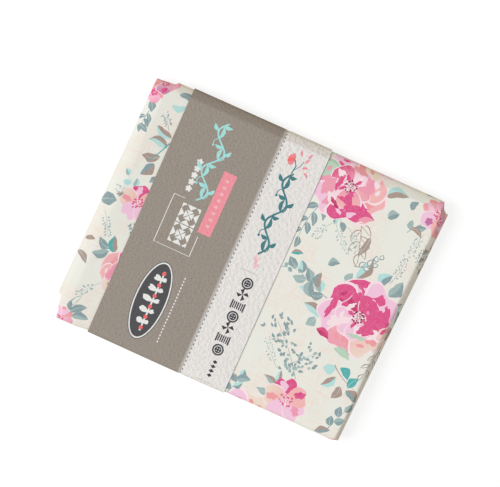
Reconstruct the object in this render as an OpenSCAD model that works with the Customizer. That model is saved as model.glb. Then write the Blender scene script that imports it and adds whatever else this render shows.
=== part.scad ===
// Fat quarter bundle: seven folded cotton fat quarters inside an eighth one that is
// wrapped round them, held by a paper belly band of two papers. Millimetres, +Z up.
// X runs along the bundle, Y across it. The origin is at the middle of the resting plane.

/* [Folded fat quarters] */
// Length of a folded fat quarter along the bundle
fold_l = 222; // [210:1:224]
// Width across the bundle of the outermost folded fat quarters in the stack
fold_w = 181; // [170:1:181]
// Extra half width of the middle fat quarter, where the stack swells
swell = 3.6; // [0:0.2:3.8]
// Number of fat quarters in the stack
stack_n = 7; // [3:1:7]
// Thickness of one panel, which is two plies of cotton pressed together
panel_t = 0.6; // [0.5:0.05:0.65]
// Air between two panels of one fat quarter
panel_gap = 0.15; // [0.1:0.05:0.2]

/* [Outer fat quarter] */
// Overall length of the wrapped bundle
bundle_l = 236; // [234:1:240]
// Overall width of the wrapped cloth
bundle_w = 194; // [194:1:198]
// Thickness of the wrapping cloth
cloth_t = 0.4; // [0.3:0.05:0.5]
// How far the end with the tucked folds swells past its top crease
nose = 5; // [3:0.5:5]
// Length of the narrower collar at the open end
collar_l = 15; // [10:1:20]
// How much narrower the collar is, on one long side
collar_inset = 1.6; // [0.5:0.1:1.6]
// How far the cloth's long edges lap over each other under the bundle
lap_w = 33; // [20:1:60]
// How far the end flap reaches under the bundle
end_flap_l = 26; // [20:1:40]
// Width of the end flap
end_flap_w = 160; // [120:1:165]

/* [Paper band] */
// Width of the kraft paper band, along the bundle
kraft_w = 74; // [60:1:80]
// Width of the rag paper strip that shows beside the kraft paper
rag_w = 36.5; // [25:0.5:45]
// How far the rag paper runs on under the kraft paper
rag_margin = 8; // [6:0.5:12]
// Middle of the line where the two papers meet, along the bundle
meet_x = -13; // [-20:1:0]
// Thickness of either paper
paper_t = 0.3; // [0.25:0.05:0.35]
// Turn of the band on the bundle, in degrees
band_turn = 1.35; // [0:0.05:2]
// Length of one stitch
stitch_l = 1.9; // [1.5:0.1:2.5]
// Distance from one stitch to the next
stitch_pitch = 3.3; // [3:0.1:5]

/* [Hidden] */

eps = 0.01;
big = 400;
layer_gap = 0.12;                        // air between two fat quarters
fq_t = 3 * panel_t + 2 * panel_gap;      // one folded fat quarter
panel_step = panel_t + panel_gap;
bend_r = panel_t + panel_gap / 2;        // outside of a fold
pitch = fq_t + layer_gap;
stack_h = stack_n * pitch - layer_gap;
tape_t = 0.1;
thread_t = 0.22;
thread_w = 0.5;                          // thread pressed flat
corner_lift = 0.7;                       // the cloth stands this far off the stack's flat

// Half heights of the wrapping cloth, and the heights of its middle and base
cavity_b = stack_h / 2 + corner_lift;
cloth_b = cavity_b + cloth_t;
lap_rise = 2 * paper_t + tape_t;         // top of the band's lap joint, from the table
base_z = lap_rise + 0.1 + cloth_t;       // the cloth's underside, above its own flaps
mid_z = base_z + cloth_b;
cloth_a = bundle_w / 2;
end_x = bundle_l / 2;
stack_x1 = end_x - nose - 2;             // inner face of the tucked end
stack_x0 = stack_x1 - fold_l;

// Clearances from the cloth to the rag paper, the inner of the two papers
side_gap = 0.2;
top_gap = 0.35;

// Outline exponents: a pillow with a flat top and tightly rounded long sides
pow_y = 30;
pow_z = 3;
arc_step = 7.5;
flat_angle = 90 - arc_step;

fq_colors = ["#9fc9bf", "#e9829c", "#a99b8d", "#3f9a9c", "#f0b3a6", "#7f979b", "#e7ddc9"];

// One point of the pillow outline, at angle t. The outline's flats are at half height b.
function pillow_point(a, b, t) =
    [a * pow(cos(t), 2 / pow_y), sign(t) * b * pow(abs(sin(t)) / sin(flat_angle), 2 / pow_z)];

// Pillow outline: half widths towards +Y and -Y, half heights up and down
function pillow(a_pos, a_neg, b_up, b_down) = concat(
    [for (t = [-flat_angle : arc_step : flat_angle])
        pillow_point(a_pos, t < 0 ? b_down : b_up, t)],
    [for (t = [flat_angle : -arc_step : -flat_angle])
        let (p = pillow_point(a_neg, t < 0 ? b_down : b_up, t)) [-p.x, p.y]]);

// Sweeps a YZ outline along X from x0 to x1
module sweep_x(x0, x1) {
    translate([x0, 0, 0]) rotate([90, 0, 90]) linear_extrude(height = x1 - x0) children();
}

// Sweeps an XZ outline across the whole width
module sweep_y() {
    translate([0, big / 2, 0]) rotate([90, 0, 0]) linear_extrude(height = big) children();
}

// Solid pillow bar about the bundle's middle height
module pillow_bar(x0, x1, a_pos, a_neg, b_up, b_down) {
    translate([0, 0, mid_z]) sweep_x(x0, x1) polygon(pillow(a_pos, a_neg, b_up, b_down));
}

// Side view of the bundle, square at the open end and swollen at the tucked end
module side_outline() {
    nose_b = cloth_b + 1;
    polygon(concat(
        [[-end_x, mid_z - nose_b]],
        [for (t = [-90 : 15 : 90])
            [end_x - nose * (1 - cos(t)), mid_z + (t > 89 || t < -89 ? nose_b : cloth_b) * sin(t)]],
        [[-end_x, mid_z + nose_b]]));
}

// The eighth fat quarter: a sleeve open at -X, with its end folds tucked in at +X
module outer_fat_quarter() {
    collar_x = -end_x + collar_l;
    flap_x1 = end_x - nose - 3;
    cavity_a = cloth_a - cloth_t;
    color("#e6e6da") difference() {
        union() {
            intersection() {
                union() {
                    pillow_bar(-end_x, collar_x, cloth_a - collar_inset, cloth_a, cloth_b, cloth_b);
                    pillow_bar(collar_x, end_x, cloth_a, cloth_a, cloth_b, cloth_b);
                }
                sweep_y() side_outline();
            }
            // the cloth's long edge, lapped over under the bundle
            translate([-end_x, -lap_w / 2, base_z - cloth_t])
                cube([flap_x1 + end_x - end_flap_l - 2, lap_w, cloth_t + eps]);
            // the end flap, folded under from the tucked end
            translate([flap_x1 - end_flap_l, -end_flap_w / 2, base_z - cloth_t])
                cube([end_flap_l, end_flap_w, cloth_t + eps]);
        }
        pillow_bar(-end_x - 1, stack_x1 + 0.3, cavity_a - collar_inset, cavity_a, cavity_b, cavity_b);
        // pulled-back corner of the open end
        translate([-end_x - 1, -cloth_a - 1, 0]) cube([7, 19, 2 * mid_z]);
        // hollow between the long side and the tucked end
        translate([end_x + 3, cloth_a + 1, -1]) cylinder(r = 9.4, h = 2 * mid_z + 2, $fn = 48);
    }
}

// Section of one fat quarter folded in three across the bundle: a fold on either side
module letter_fold(straight) {
    difference() {
        union() {
            square([2 * straight, fq_t], center = true);
            for (s = [-1, 1])
                translate([s * straight, s * panel_step / 2]) circle(r = bend_r, $fn = 32);
        }
        for (s = [-1, 1]) translate([0, s * panel_step / 2]) {
            translate([-s * eps, 0]) square([2 * straight + eps, panel_gap], center = true);
            translate([s * straight, 0]) circle(r = panel_gap / 2, $fn = 32);
        }
    }
}

// A fat quarter: halved, then folded in three. Its half fold is at the open end.
module fat_quarter(index) {
    z = (index - (stack_n + 1) / 2) * pitch;
    reach = 1 - pow(2 * z / (stack_h - fq_t), 2);
    straight = round(10 * (fold_w / 2 + swell * reach - bend_r)) / 10;
    round_r = panel_t / 2;
    color(fq_colors[index - 1]) translate([0, 0, mid_z + z]) {
        sweep_x(stack_x0 + round_r, stack_x1) letter_fold(straight);
        for (i = [-1 : 1])
            translate([stack_x0 + round_r, straight, i * panel_step])
                rotate([90, 0, 0]) cylinder(r = round_r, h = 2 * straight, $fn = 24);
    }
}

// Keeps what lies between two lines across the bundle, turned as the band is
module between(x0, x1) {
    intersection() {
        children();
        rotate([0, 0, band_turn]) translate([x0, -big / 2, -big / 2]) cube([x1 - x0, big, big]);
    }
}

// Paper ring round the bundle. lift is how far it stands off the rag paper's ring,
// and floor_z is the height of its underside.
module paper_ring(x0, x1, lift, floor_z) {
    a = cloth_a + side_gap + lift + paper_t;
    b_up = cloth_b + top_gap + lift + paper_t;
    b_down = mid_z - floor_z;
    between(x0, x1) difference() {
        pillow_bar(x0 - 10, x1 + 10, a, a, b_up, b_down);
        pillow_bar(x0 - 11, x1 + 11, a - paper_t, a - paper_t, b_up - paper_t, b_down - paper_t);
    }
}

lap_y = 12;                              // half width of a lap joint under the bundle
lap_slit = 0.4;
riser_w = 1;

// A paper ring whose two ends lap under the bundle: the inner end lies over the outer one
module lapped_ring(x0, x1, lift) {
    difference() {
        paper_ring(x0, x1, lift, 0);
        translate([-big / 2, -lap_y - lap_slit, -1]) cube([big, lap_slit, 1 + paper_t + eps]);
    }
    between(x0, x1) union() {
        translate([-big / 2, -lap_y - lap_slit - riser_w, 0]) cube([big, riser_w, lap_rise]);
        translate([-big / 2, -lap_y - lap_slit - riser_w, paper_t + tape_t])
            cube([big, 2 * lap_y + riser_w, paper_t]);
    }
}

module kraft_band() {
    color("#978d83") lapped_ring(meet_x - kraft_w, meet_x, paper_t + tape_t);
}

module rag_paper_strip() {
    color("#e4dfd9") {
        lapped_ring(meet_x, meet_x + rag_w, 0);
        // margin running on under the kraft paper, cut away where the kraft paper laps
        difference() {
            paper_ring(meet_x - rag_margin, meet_x + eps, 0, paper_t + tape_t);
            translate([-big / 2, -lap_y - 2, -1]) cube([big, 2 * lap_y + 4, mid_z]);
        }
    }
}

// Double-sided tape between the kraft paper and the rag paper's margin, on the top
module joining_tape() {
    tape_z = mid_z + cloth_b + top_gap + paper_t;
    color("#f3f1ea") between(meet_x - rag_margin + 1, meet_x - 2)
        translate([-big / 2, -70, tape_z]) cube([big, 140, tape_t]);
}

// Tape inside a lap joint
module lap_tape(x0, x1) {
    color("#f3f1ea") between(x0 + 3, x1 - 3)
        translate([-big / 2, -lap_y + 2, paper_t]) cube([big, 2 * lap_y - 4, tape_t]);
}

// Running stitch through the rag paper: a stitch on top, then one beneath, in turn
module stitch_thread() {
    outer_z = mid_z + cloth_b + top_gap + paper_t;
    inner_z = outer_z - paper_t - thread_t;
    gap_l = stitch_pitch - stitch_l;
    reach = 88;
    n = floor(reach / stitch_pitch);
    leg_h = paper_t + 2 * thread_t;
    color("#5b5a5c") rotate([0, 0, band_turn]) translate([meet_x + 1.4, 0, 0])
        for (i = [-n : n]) translate([-thread_w / 2, i * stitch_pitch - stitch_l / 2, 0]) {
            translate([0, 0, outer_z]) cube([thread_w, stitch_l, thread_t]);
            for (y = [0, stitch_l - thread_t])
                translate([0, y, inner_z]) cube([thread_w, thread_t, leg_h]);
            if (i < n)
                translate([0, stitch_l - thread_t, inner_z])
                    cube([thread_w, gap_l + 2 * thread_t, thread_t]);
        }
}

outer_fat_quarter();
fat_quarter(1);  // fat_quarter_1
fat_quarter(2);  // fat_quarter_2
fat_quarter(3);  // fat_quarter_3
fat_quarter(4);  // fat_quarter_4
fat_quarter(5);  // fat_quarter_5
fat_quarter(6);  // fat_quarter_6
fat_quarter(7);  // fat_quarter_7
kraft_band();
rag_paper_strip();
stitch_thread();
joining_tape();
lap_tape(meet_x - kraft_w, meet_x);  // kraft_lap_tape
lap_tape(meet_x, meet_x + rag_w);  // rag_lap_tape
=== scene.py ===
import math
import random
from math import cos, pi, radians, sin

import bpy
import numpy as np
from mathutils import Matrix, Vector, geometry


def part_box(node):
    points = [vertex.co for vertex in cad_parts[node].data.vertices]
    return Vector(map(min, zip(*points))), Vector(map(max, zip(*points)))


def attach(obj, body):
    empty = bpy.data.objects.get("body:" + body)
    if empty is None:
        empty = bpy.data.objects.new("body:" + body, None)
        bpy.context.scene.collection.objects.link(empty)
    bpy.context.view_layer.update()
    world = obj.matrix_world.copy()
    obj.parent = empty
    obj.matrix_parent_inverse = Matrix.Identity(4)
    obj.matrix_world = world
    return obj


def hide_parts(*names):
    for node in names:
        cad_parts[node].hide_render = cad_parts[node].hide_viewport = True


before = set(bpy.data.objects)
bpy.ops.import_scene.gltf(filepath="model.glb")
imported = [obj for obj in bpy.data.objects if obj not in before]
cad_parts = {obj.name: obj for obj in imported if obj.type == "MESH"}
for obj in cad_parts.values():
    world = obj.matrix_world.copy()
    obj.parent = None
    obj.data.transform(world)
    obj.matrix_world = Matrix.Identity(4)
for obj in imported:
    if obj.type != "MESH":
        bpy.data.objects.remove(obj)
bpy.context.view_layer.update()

MM = 0.001


def box_mm(node):
    low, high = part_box(node)
    return np.array(low) / MM, np.array(high) / MM


# ---- measures, in millimetres
CLOTH_LOW, CLOTH_HIGH = box_mm("outer_fat_quarter")
KRAFT_HIGH = box_mm("kraft_band")[1]
RAG_HIGH = box_mm("rag_paper_strip")[1]
END_X = CLOTH_HIGH[0]
HALF_W = CLOTH_HIGH[1]
CLOTH_T = 0.4
LAP_T = CLOTH_T + 0.05
BASE_Z = CLOTH_LOW[2] + CLOTH_T
MID_Z = (CLOTH_HIGH[2] + BASE_Z) / 2
HALF_H = CLOTH_HIGH[2] - MID_Z
NOSE = 5.4  # length of the rounded +X end
COLLAR = 15.0  # length of the pulled-in stretch at the open end
CREASE_W = 7.2  # width over which the top turns down along the +Y side
BAND_SLOPE = math.tan(radians(0.56))  # the band leans a little across the bundle
MEET_X = -13.0  # the seam between kraft and rag paper
KRAFT_W = 74.0
RAG_W = 36.1
RAG_MARGIN = 8.0  # how far the rag paper runs on under the kraft paper
PAPER_T = 0.3
PANEL_GAP = 0.15  # between the panels of a folded quarter
FLOOR_HALF = 3000.0
REPEAT_X, REPEAT_Y = 240.0, 196.0  # of the printed pattern
GRID_LINES_PER_TILE = 7

# ---- colours, sRGB 0 to 255
INK = {
    "magenta": (226, 76, 136), "crimson": (198, 44, 106), "rose": (242, 156, 178),
    "pink": (247, 200, 224), "blush": (252, 228, 232), "peach": (247, 184, 182),
    "coral": (243, 156, 162), "sand": (240, 221, 202), "mint": (182, 214, 188),
    "aqua": (182, 226, 222), "teal": (74, 178, 176), "slate": (136, 161, 164),
    "sage": (160, 186, 182), "taupe": (170, 150, 138), "stamen": (160, 10, 84),
    "violet": (196, 110, 160), "ground": (238, 238, 228),
    "ring": (240, 240, 236), "badge": (78, 79, 83), "tag": (247, 152, 164),
    "script": (168, 230, 226), "deep": (48, 124, 130), "dark": (32, 35, 47),
    "drop": (250, 108, 108), "grey": (120, 118, 118), "faint": (250, 190, 196), "blank": (228, 224, 220),
    "rib": (206, 218, 212),
}


def linear(rgb):
    c = np.array(rgb, float) / 255
    return np.where(c <= 0.04045, c / 12.92, ((c + 0.055) / 1.055) ** 2.4)


TONES = {name: linear(rgb) for name, rgb in INK.items()}


# ---- painted flat sheets
class Sheet:
    """A flat cloth or paper in millimetres, with painted shapes. Later shapes lie on top."""

    def __init__(self, seed):
        self.shapes = []
        self.random = random.Random(seed)

    def paint(self, points, tone, tip=None, root=None, ahead=None, reach=1.0):
        """tone turns into tip over reach millimetres from root, in the direction ahead."""
        pts = np.asarray(points, float)
        if root is None:
            root, ahead = pts[0], (1.0, 0.0)
        self.shapes.append((pts, TONES[tone], TONES[tip or tone], np.array(root), np.array(ahead),
                            reach, 0.0 if tone == "ground" else 1.0))

    def wobble(self, low, high):
        return self.random.uniform(low, high)


def turned(points, x, y, angle):
    c, s = cos(angle), sin(angle)
    p = np.asarray(points, float)
    return np.stack([x + p[:, 0] * c - p[:, 1] * s, y + p[:, 0] * s + p[:, 1] * c], 1)


def beside(x, y, distance, angle):
    """The point at a distance from x, y in the direction angle."""
    return x + distance * cos(angle), y + distance * sin(angle)


def disc(sheet, x, y, r, tone, n=8, ry=None, angle=0.0):
    t = np.linspace(0, 2 * pi, n, endpoint=False)
    pts = np.stack([r * np.cos(t), (ry or r) * np.sin(t)], 1)
    sheet.paint(turned(pts, x, y, angle), tone)


def petal_points(sheet, length, width, n=26, notch=0.08, ripple=0.07):
    """Petal from the origin along +X, broader towards its tip."""
    t = np.linspace(0, 2 * pi, n, endpoint=False)
    u = (1 - np.cos(t)) / 2
    p1, p2 = sheet.wobble(0, 6), sheet.wobble(0, 6)
    wave = 1 + u * ripple * (np.sin(3 * t + p1) + 0.7 * np.sin(6 * t + p2))
    dent = notch * length * np.exp(-((t - pi) / 0.25) ** 2)
    x = length * u * (1 + u * ripple * np.sin(5 * t + p2)) - dent
    y = width / 2 * np.sin(t) * (0.62 + 0.55 * u) * wave
    return np.stack([x, y], 1)


def petal(sheet, x, y, angle, length, width, tone, tip=None, rim=None, patch=None):
    ahead = (cos(angle), sin(angle))
    pts = petal_points(sheet, length, width)
    if rim:
        grown = pts * np.array([1.05, 1.13]) + np.array([-0.01 * length, 0])
        sheet.paint(turned(grown, x, y, angle), rim)
    sheet.paint(turned(pts, x, y, angle), tone, tip, (x, y), ahead, length)
    if patch:
        side = sheet.random.choice((-1, 1))
        inner = petal_points(sheet, length * 0.62, width * 0.42, n=22, notch=0.2, ripple=0.22)
        inner += np.array([length * 0.27, side * width * 0.12])
        sheet.paint(turned(inner, x, y, angle + side * 0.1), patch)


def leaf(sheet, x, y, angle, length, width, tone, half=None, bend=0.12, vein=True):
    n = 13 if length > 7 else 9
    u = np.linspace(0, 1, n)
    rise = bend * length * np.sin(pi * u)
    belly = width / 2 * np.sin(pi * u ** 0.85) ** 0.9
    brush = 0.09 * min(1.0, length / 12)
    phase = 1.7 * x + 2.3 * y
    mid = np.stack([u * length, rise], 1)
    upper = mid + np.stack([0 * u, belly * (1 + brush * np.sin(13 * u + phase))], 1)
    lower = mid - np.stack([0 * u, belly * (1 + brush * np.sin(11 * u + 2 * phase))], 1)
    full = np.concatenate([upper, lower[-2:0:-1]])
    ahead = (cos(angle), sin(angle))
    sheet.paint(turned(full, x, y, angle), tone, tone, (x, y), ahead, length)
    if half:
        part = np.concatenate([mid, lower[-2:0:-1]])
        sheet.paint(turned(part, x, y, angle), half)
    elif vein and length > 8:
        thin = np.stack([0 * u, 0.22 * (1 - 0.7 * u)], 1)
        rib = np.concatenate([(mid + thin)[:-2], (mid - thin)[-3::-1]])
        sheet.paint(turned(rib, x, y, angle), "rib")


def outline_leaf(sheet, x, y, angle, length, width, tone, bend=0.12):
    inset, line = 0.75, 0.65
    leaf(sheet, x, y, angle, length, width, tone, None, bend, False)
    leaf(sheet, *beside(x, y, inset, angle), angle, length - 2 * inset, width - 2 * line, "ground", None,
         bend, False)


def stem(sheet, x, y, angle, length, tone, curve=0.3, width=0.5, n=9):
    """Thin curved stem. Returns points along it, with headings."""
    u = np.linspace(0, 1, n)
    heading = angle + curve * u
    step = length / (n - 1)
    px = x + np.concatenate([[0], np.cumsum(np.cos(heading[:-1]) * step)])
    py = y + np.concatenate([[0], np.cumsum(np.sin(heading[:-1]) * step)])
    half = width / 2 * (1.1 - 0.6 * u)
    nx, ny = -np.sin(heading), np.cos(heading)
    left = np.stack([px + nx * half, py + ny * half], 1)
    right = np.stack([px - nx * half, py - ny * half], 1)
    sheet.paint(np.concatenate([left, right[::-1]]), tone)
    return list(zip(px, py, heading))


def sprig(sheet, x, y, angle, length, tones, count=5, leaf_l=9, leaf_w=4.2, curve=0.35, outline=False):
    path = stem(sheet, x, y, angle, length, tones[0], curve, 0.6, 13)
    for k in range(count):
        px, py, h = path[min(12, int(2 + k * 10 / max(1, count - 1)))]
        side = -1 if k % 2 else 1
        a = h + side * sheet.wobble(0.55, 0.85) if k < count - 1 else h
        size = leaf_l * sheet.wobble(0.85, 1.1) * (1 - 0.25 * k / count)
        tone = tones[k % len(tones)]
        half = tones[(k + 1) % len(tones)] if len(tones) > 1 and k % 2 else None
        if outline:
            outline_leaf(sheet, px, py, a, size, leaf_w, tone, side * 0.1)
        else:
            leaf(sheet, px, py, a, size, leaf_w, tone, half, side * 0.1)


def dotted_sprig(sheet, x, y, angle, length, tone="sage", curve=0.4, size=0.75):
    path = stem(sheet, x, y, angle, length, tone, curve, 0.35, 13)
    for px, py, h in path[3:]:
        for side in (-1, 1):
            d = sheet.wobble(1.4, 3.4)
            a = h + side * sheet.wobble(0.6, 1.2)
            disc(sheet, *beside(px, py, d, a), size * sheet.wobble(0.7, 1.3), tone, 7, size * 0.6, a)


def leaf_spray(sheet, x, y, angle, length, spread, count, tones):
    """Dense spray of very small leaves."""
    path = stem(sheet, x, y, angle, length, tones[0], 0.25, 0.4, 13)
    for k in range(count):
        px, py, h = path[sheet.random.randrange(1, 13)]
        d = sheet.wobble(-spread, spread)
        px, py = px - sin(h) * d + sheet.wobble(-2, 2), py + cos(h) * d + sheet.wobble(-2, 2)
        a = h + sheet.wobble(-1.2, 1.2)
        leaf(sheet, px, py, a, sheet.wobble(2.2, 4.4), sheet.wobble(1.5, 2.4), sheet.random.choice(tones))


def stamens(sheet, x, y, r, count=16, tone="stamen"):
    inner, half = 0.15 * r, 0.12
    for k in range(count):
        a = 2 * pi * k / count + sheet.wobble(-0.2, 0.2)
        d = r * sheet.wobble(0.5, 1.05)
        sheet.paint(turned([(inner, half), (d, half), (d, -half), (inner, -half)], x, y, a), tone)
        disc(sheet, *beside(x, y, d, a), sheet.wobble(0.6, 0.9), tone, 7)


def splash(sheet, x, y, rx, ry, angle, tone, rough=0.22, n=34):
    """Ragged brush mark."""
    t = np.linspace(0, 2 * pi, n, endpoint=False)
    p = [sheet.wobble(0, 6) for _ in range(3)]
    r = 1 + rough * (np.sin(2 * t + p[0]) * 0.7 + np.sin(5 * t + p[1]) * 0.6 + np.sin(9 * t + p[2]) * 0.25)
    pts = np.stack([rx * r * np.cos(t), ry * r * np.sin(t)], 1)
    sheet.paint(turned(pts, x, y, angle), tone)


def rose(sheet, x, y, turn, r, outer, inner, marks):
    """Open rose: two rings of petals, then brush marks. marks holds (turn, distance, length, width, tone)."""
    for k, (tone, tip, patch) in enumerate(outer):
        a = turn + 2 * pi * k / len(outer) + sheet.wobble(-0.14, 0.14)
        long, wide = r * sheet.wobble(0.7, 0.84), r * sheet.wobble(0.95, 1.15)
        petal(sheet, *beside(x, y, 0.2 * r, a), a, long, wide, tone, tip, "blush")
        if patch:
            d = r * 0.56
            splash(sheet, *beside(x, y, d, a + 0.15), r * 0.24, r * 0.17, a, patch)
            splash(sheet, *beside(x, y, 1.3 * d, a - 0.3), r * 0.09, r * 0.05, a + 1, patch)
    for k, (tone, tip, patch) in enumerate(inner):
        a = turn + 0.5 + 2 * pi * k / len(inner) + sheet.wobble(-0.2, 0.2)
        long, wide = r * sheet.wobble(0.52, 0.62), r * sheet.wobble(0.62, 0.78)
        petal(sheet, *beside(x, y, 0.05 * r, a), a, long, wide, tone, tip, "blush")
        if patch:
            splash(sheet, *beside(x, y, r * 0.36, a), r * 0.15, r * 0.1, a, patch)
    for away, d, long, wide, tone in marks:
        a = radians(away)
        splash(sheet, *beside(x, y, d * r, a), r * long, r * wide, a + 1.3, tone, 0.26)
    disc(sheet, x, y, r * 0.2, "blush", 14, r * 0.16)
    for k in range(4):
        a = turn + 1.1 + k * 1.5
        splash(sheet, *beside(x, y, 0.22 * r, a), r * 0.1, r * 0.045, a, "magenta")
    stamens(sheet, x, y, r * 0.17, 17)


def blossom(sheet, x, y, turn, r, tones, heart="blush"):
    """Five-petal blossom. tones holds (tone, tip, patch) for each petal."""
    for k, (tone, tip, patch) in enumerate(tones):
        a = turn + 2 * pi * k / len(tones) + sheet.wobble(-0.1, 0.1)
        petal(sheet, x, y, a, r * sheet.wobble(0.92, 1.05), r * 1.02, tone, tip, "blush" if k % 2 else None)
        if patch:
            splash(sheet, *beside(x, y, r * 0.66, a + 0.12), r * 0.24, r * 0.17, a, patch)
    splash(sheet, x, y, r * 0.24, r * 0.2, turn, heart, 0.2)
    stamens(sheet, x, y, r * 0.3, 17, "magenta")


# ---- sheets become meshes
def clipped(a, b, low, high):
    """The parts of the segments a to b that lie in the box from low to high."""
    d = b - a
    with np.errstate(divide="ignore", invalid="ignore"):
        t1, t2 = (low - a) / d, (high - a) / d
    flat = d == 0
    outside = (flat & ((a < low) | (a > high))).any(1)
    enter = np.where(flat, -1.0, np.minimum(t1, t2)).max(1).clip(0, 1)
    leave = np.where(flat, 2.0, np.maximum(t1, t2)).min(1).clip(0, 1)
    keep = ~outside & (leave - enter > 1e-9)
    a, d, enter, leave = a[keep], d[keep], enter[keep, None], leave[keep, None]
    return a + enter * d, a + leave * d


def contains(shape, points):
    """Which points lie inside a closed shape, by the even-odd rule."""
    x, y = points[:, :1], points[:, 1:]
    ax, ay = shape[:, 0], shape[:, 1]
    bx, by = np.roll(ax, -1), np.roll(ay, -1)
    with np.errstate(divide="ignore", invalid="ignore"):
        crossing = ((ay > y) != (by > y)) & (x < (bx - ax) * (y - ay) / (by - ay) + ax)
    return crossing.sum(1) % 2 == 1


def cut_tile(low, high, grid, edge_a, edge_b):
    """Triangles of one tile of the sheet, cut along the shapes' edges."""
    a, b = clipped(edge_a, edge_b, low, high)
    xs, ys = ([v for v in grid[k] if low[k] - 1e-6 <= v <= high[k] + 1e-6] for k in (0, 1))
    loose = [(x, y) for x in xs for y in ys]
    points = [Vector(p) for p in loose] + [Vector(p) for p in a] + [Vector(p) for p in b]
    first = len(loose)
    edges = [(first + k, first + len(a) + k) for k in range(len(a))]
    out = geometry.delaunay_2d_cdt(points, edges, [], 0, 1e-5, False)
    return np.array([tuple(v) for v in out[0]]), np.array([tuple(f) for f in out[2]])


def cut_sheet(shapes, outline, grid, tile):
    """Flat vertices, triangles, and each triangle's topmost shape. Worked tile by tile."""
    loops = [outline] + shapes
    edge_a = np.concatenate(loops)
    edge_b = np.concatenate([np.roll(p, -1, axis=0) for p in loops])
    lows, highs = np.array([p.min(0) for p in shapes]), np.array([p.max(0) for p in shapes])
    xs, ys = ([v for k, v in enumerate(axis) if k % tile == 0 or v == axis[-1]] for axis in grid)
    edge_low, edge_high = np.minimum(edge_a, edge_b), np.maximum(edge_a, edge_b)
    verts, tris, tops, total = [], [], [], 0
    for x0, x1 in zip(xs, xs[1:]):
        for y0, y1 in zip(ys, ys[1:]):
            low, high = np.array([x0, y0]), np.array([x1, y1])
            near = ((edge_high >= low) & (edge_low <= high)).all(1)
            v, f = cut_tile(low, high, grid, edge_a[near], edge_b[near])
            mid = v[f].mean(1)
            inside = contains(outline, mid)
            f, mid = f[inside], mid[inside]
            top = np.full(len(f), -1)
            for k in np.nonzero(((highs >= low) & (lows <= high)).all(1))[0]:
                top[contains(shapes[k], mid)] = k
            verts.append(v)
            tris.append(f + total)
            tops.append(top)
            total += len(v)
    verts, tris, tops = np.concatenate(verts), np.concatenate(tris), np.concatenate(tops)
    _, first, same = np.unique(np.round(verts, 3), axis=0, return_index=True, return_inverse=True)
    tris = same.reshape(-1)[tris]
    whole = (tris[:, 0] != tris[:, 1]) & (tris[:, 1] != tris[:, 2]) & (tris[:, 0] != tris[:, 2])
    tris, tops = tris[whole], tops[whole]
    used, tris = np.unique(tris, return_inverse=True)
    return verts[first][used], tris.reshape(-1, 3), tops


def mesh_object(name, points, faces, material, flat=None):
    """Smooth object from points in millimetres. flat holds each point's place on the flat sheet."""
    mesh = bpy.data.meshes.new(name)
    mesh.from_pydata((np.asarray(points, float) * MM).tolist(), [], faces)
    mesh.polygons.foreach_set("use_smooth", np.ones(len(faces), bool))
    if flat is not None:
        layer = mesh.attributes.new("flat_mm", "FLOAT_VECTOR", "POINT")
        layer.data.foreach_set("vector", flat.ravel().astype(np.float32))
    mesh.update()
    obj = bpy.data.objects.new(name, mesh)
    bpy.context.scene.collection.objects.link(obj)
    obj.data.materials.append(material)
    return obj


def stand_for(obj, node, body):
    """Shows obj in place of a CAD node, moving with a body."""
    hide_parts(node)
    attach(obj, body)


def print_colours(sheet, flat, tris, top):
    """Colour at each triangle's corners, with 1 in its alpha where ink lies and 0 on bare cloth."""
    colour = np.ones((len(tris), 3, 4))
    colour[..., :3] = TONES["ground"]
    colour[..., 3] = 0.0
    for k, (_, tone, tip, root, ahead, reach, ink) in enumerate(sheet.shapes):
        mine = top == k
        t = np.clip(((flat[tris[mine]] - root) @ ahead) / reach, 0, 1)[..., None]
        colour[mine, :, :3] = tone * (1 - t) + tip * t
        colour[mine, :, 3] = ink
    return colour


def build_sheet(name, sheet, outline, lines, place, thickness, material):
    """Cuts the sheet along its painted shapes and lines of points, then bends it with place."""
    shapes = [shape[0] for shape in sheet.shapes]
    flat, tris, top = cut_sheet(shapes, np.asarray(outline, float), lines, GRID_LINES_PER_TILE)
    points = place(flat[:, 0], flat[:, 1])
    obj = mesh_object(name, points, tris.tolist(), material, np.insert(flat, 2, 0.0, axis=1))
    layer = obj.data.attributes.new("print", "FLOAT_COLOR", "CORNER")
    layer.data.foreach_set("color", print_colours(sheet, flat, tris, top).ravel().astype(np.float32))
    thick = obj.modifiers.new("thickness", "SOLIDIFY")
    thick.thickness = thickness * MM
    thick.offset = -1
    solid = bpy.data.meshes.new_from_object(obj.evaluated_get(bpy.context.evaluated_depsgraph_get()))
    obj.modifiers.clear()
    obj.data = solid
    solid.set_sharp_from_angle(angle=radians(55))
    return obj


# ---- how the sheets lie round the bundle
def run_along(*ways):
    """Distance run along a line of points, given as its coordinates."""
    return np.concatenate([[0], np.cumsum(np.hypot(*(np.diff(way) for way in ways)))])


def unit_outline():
    """Outline from the top's middle round the +Y side to the underside's middle, with its run in mm."""
    reach = radians(82.5)
    t = np.linspace(reach, -reach, 241)
    y = np.cos(t) ** (2 / 30)
    z = np.sign(t) * (np.abs(np.sin(t)) / sin(reach)) ** (2 / 3)
    flat = np.linspace(0, y[0], 60)[:-1]
    y = np.concatenate([flat, y, flat[::-1]])
    z = np.concatenate([0 * flat + 1, z, 0 * flat - 1])
    return run_along(y * HALF_W, z * HALF_H), y, z


CREASE_Y = HALF_W - CREASE_W
RUN, UNIT_Y, UNIT_Z = unit_outline()
HALF_ROUND = RUN[-1]


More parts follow.
